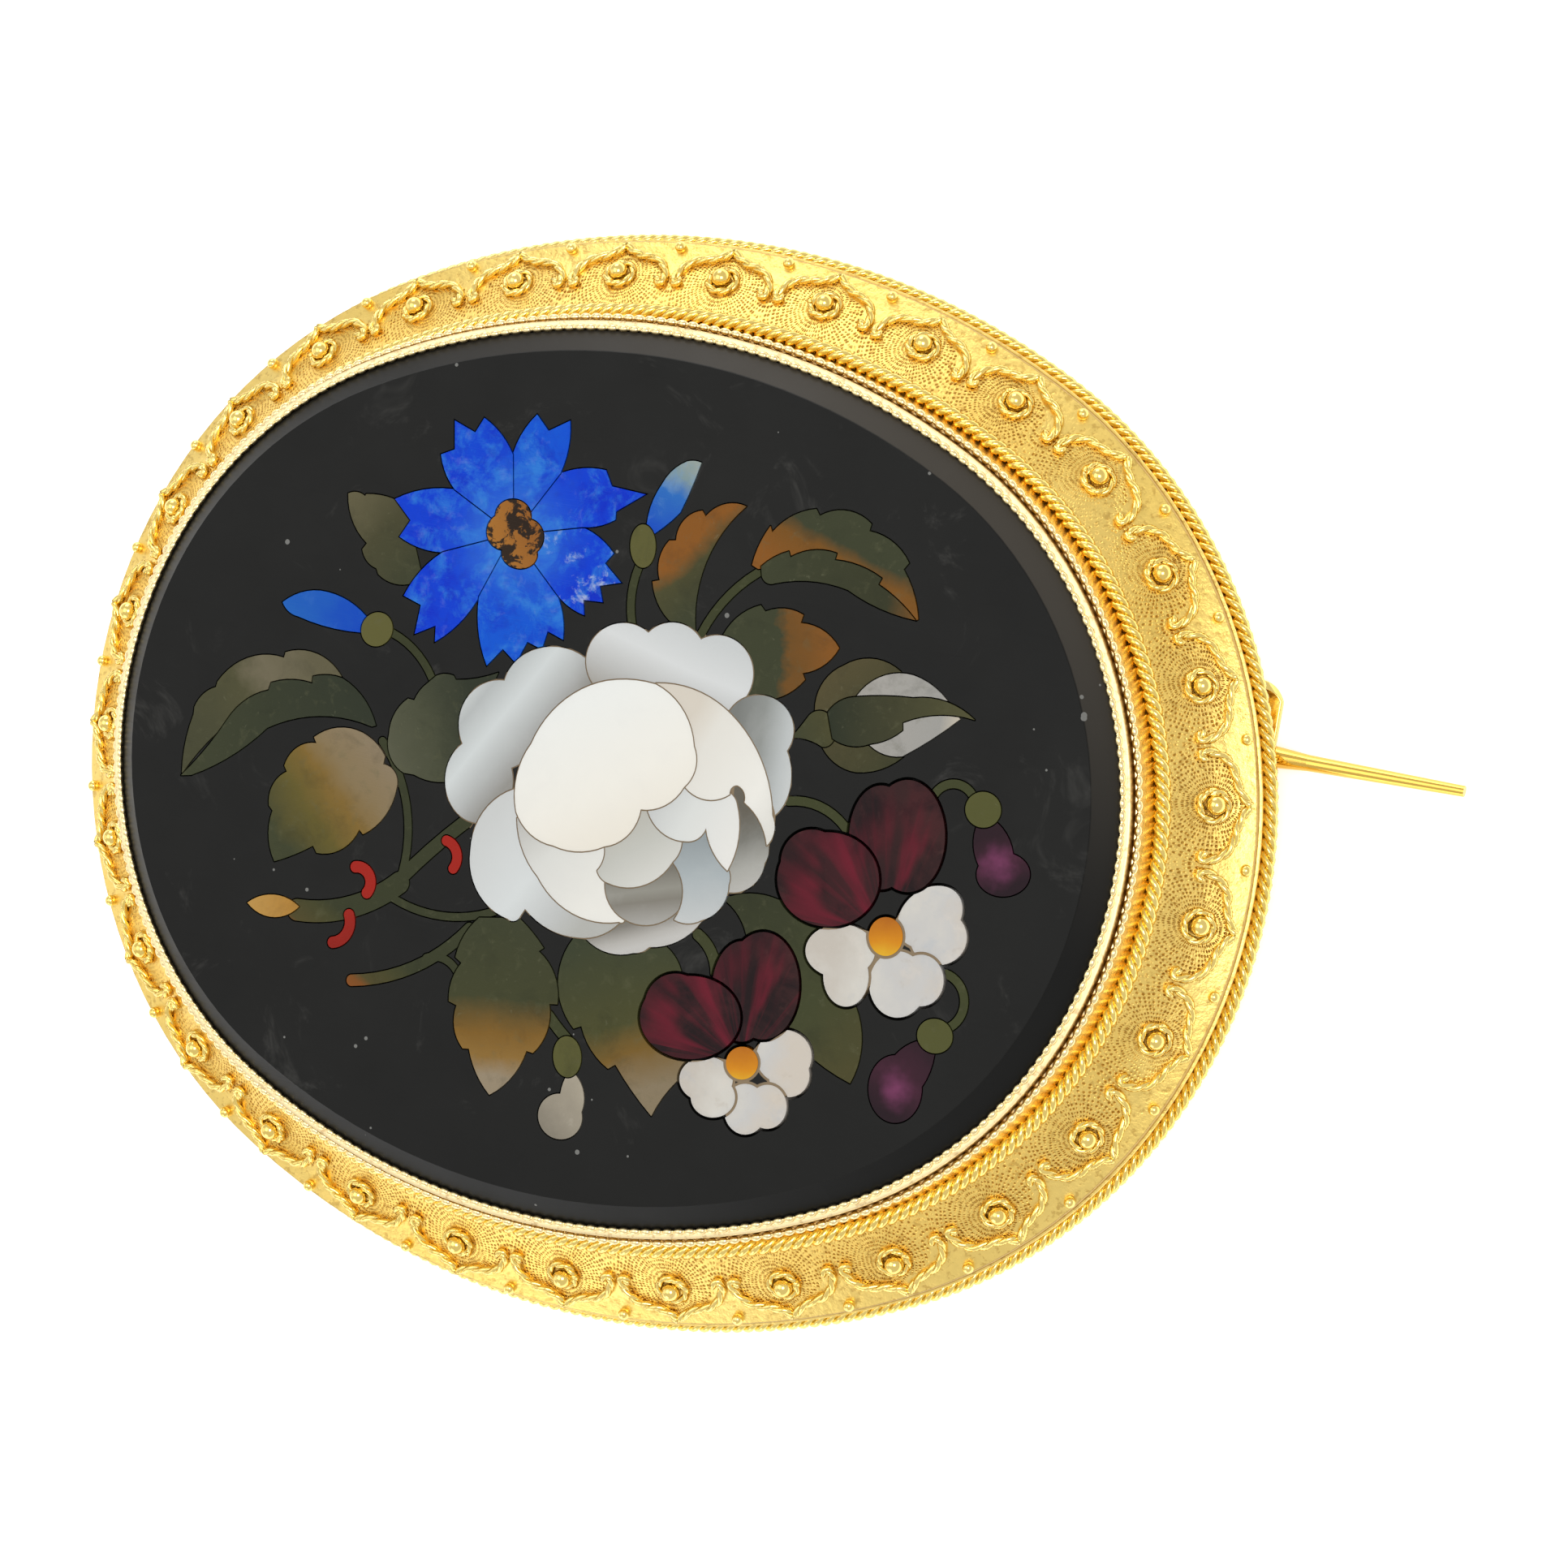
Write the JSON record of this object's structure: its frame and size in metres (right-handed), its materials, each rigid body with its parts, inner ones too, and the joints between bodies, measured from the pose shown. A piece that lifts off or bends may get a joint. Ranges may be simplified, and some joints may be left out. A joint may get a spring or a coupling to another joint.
{
  "type": "oval gold brooch with stone inlay",
  "caption": "Oval gold brooch: black stone plaque inlaid with a flower spray, beaded collet, sloping border with rope edges, rosettes and wire arches; hinged pin and C catch.",
  "frame": {"origin": "the middle of the oval on the flat back face, where the back plate ends", "axes": "+X along the oval's length towards the pin's point and the catch, +Y towards the top of the flowers, +Z out of the front"},
  "size_m": [0.057, 0.0426, 0.0079],
  "materials": {
    "gold": "polished, with matte bloomed border",
    "black_stone": "satin black stone",
    "shell_white": "polished pale stone",
    "lapis": "polished blue stone",
    "amber_stone": "polished amber stone",
    "dark_red_stone": "polished dark red stone",
    "opal_white": "polished milky stone",
    "green_stone": "polished mottled green stone",
    "coral_red": "polished red stone"
  },
  "bodies": {
    "brooch": {"gold_frame": "gold", "stone": "black_stone", "blue_bud_left": "lapis", "blue_bud_top": "lapis", "branch": "green_stone", "branch_tip": "amber_stone", "bud_calyxes": "green_stone", "cornflower_centre": "amber_stone", "cornflower_petal_1": "lapis", "cornflower_petal_2": "lapis", "cornflower_petal_3": "lapis", "cornflower_petal_4": "lapis", "cornflower_petal_5": "lapis", "cornflower_petal_6": "lapis", "cornflower_petal_7": "lapis", "drop_bud": "shell_white", "leaf_behind_cornflower": "green_stone", "leaf_beige": "green_stone", "leaf_left_inner": "green_stone", "leaf_left_outer": "green_stone", "leaf_low_left": "green_stone", "leaf_low_middle": "green_stone", "leaf_low_right": "green_stone", "leaf_round_left": "green_stone", "leaf_round_right": "green_stone", "leaf_top": "green_stone", "leaf_upper_inner": "green_stone", "leaf_upper_outer": "green_stone", "pansy_low_dark_petals": "dark_red_stone", "pansy_low_eye": "amber_stone", "pansy_low_pale_petals": "opal_white", "pansy_right_dark_petals": "dark_red_stone", "pansy_right_eye": "amber_stone", "pansy_right_pale_petals": "opal_white", "purple_bud_left": "dark_red_stone", "purple_bud_right": "dark_red_stone", "rose_petal_01": "shell_white", "rose_petal_02": "shell_white", "rose_petal_03": "shell_white", "rose_petal_04": "shell_white", "rose_petal_05": "shell_white", "rose_petal_06": "shell_white", "rose_petal_07": "shell_white", "rose_petal_08": "shell_white", "rose_petal_09": "shell_white", "rose_petal_10": "shell_white", "rose_petal_11": "shell_white", "rose_petal_12": "shell_white", "rose_petal_13": "shell_white", "rosebud_calyx": "green_stone", "rosebud_leaf": "green_stone", "rosebud_petals": "shell_white", "rosebud_sepals": "green_stone", "stems": "green_stone", "thorns": "coral_red"},
    "pin": {"pin": "gold"}
  },
  "joints": [
    {"name": "pin_swing", "type": "hinge", "parent": "brooch", "child": "pin", "pos_m": [-0.0225, 0.0052, -0.0006], "axis": [0, 1, 0], "range_deg": [0, 100]}
  ]
}
